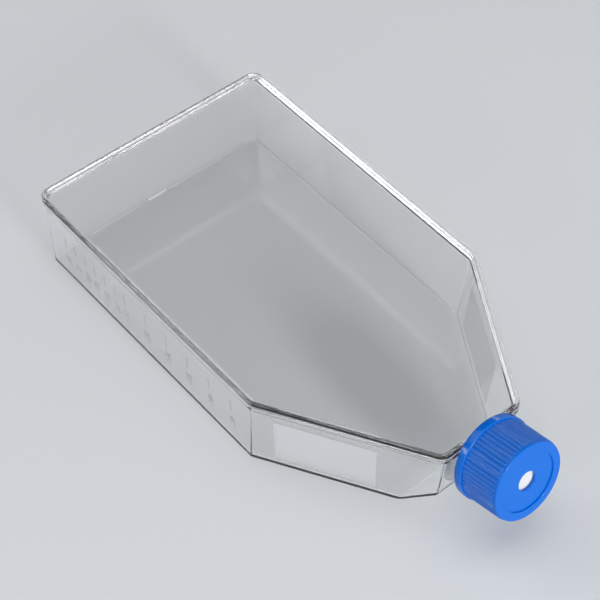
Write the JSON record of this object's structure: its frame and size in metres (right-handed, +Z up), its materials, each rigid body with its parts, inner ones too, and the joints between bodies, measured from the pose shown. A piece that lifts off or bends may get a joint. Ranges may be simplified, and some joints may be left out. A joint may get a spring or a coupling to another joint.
{
  "type": "cell culture flask",
  "caption": "Flat clear plastic flask for growing cells, with a welded top plate, tapered shoulders, a canted threaded neck and a vented screw cap.",
  "frame": {"origin": "middle of the overall length and width, on the underside of the growth surface that the flask lies on", "axes": "+X runs along the flask towards the neck and the cap, +Y across it, +Z up through the top plate"},
  "size_m": [0.2286, 0.1138, 0.0509],
  "materials": {
    "clear_tray": "clear moulded polystyrene, polished, with frosted writing areas on the tapered walls",
    "clear_plate": "clear moulded polystyrene, polished",
    "cap_plastic": "blue polyethylene, satin",
    "membrane": "white water-repellent filter sheet"
  },
  "bodies": {
    "flask": {"flask_body": "clear_tray", "top_plate": "clear_plate"},
    "vent": {"vent_membrane": "membrane"},
    "cap": {"cap_shell": "cap_plastic"}
  },
  "joints": [
    {"name": "cap_lift", "type": "slide", "parent": "flask", "child": "vent", "axis": [0.9703, 0, 0.2419], "range_m": [0, 0.00675]},
    {"name": "cap_turn", "type": "hinge", "parent": "vent", "child": "cap", "pos_m": [0.10841, 0, 0.03449], "axis": [0.9703, 0, 0.2419], "range_deg": [0, 540]}
  ],
  "couplings": [
    {"joint": "cap_lift", "follows": "cap_turn", "m_per_rad": 0.00071619}
  ]
}
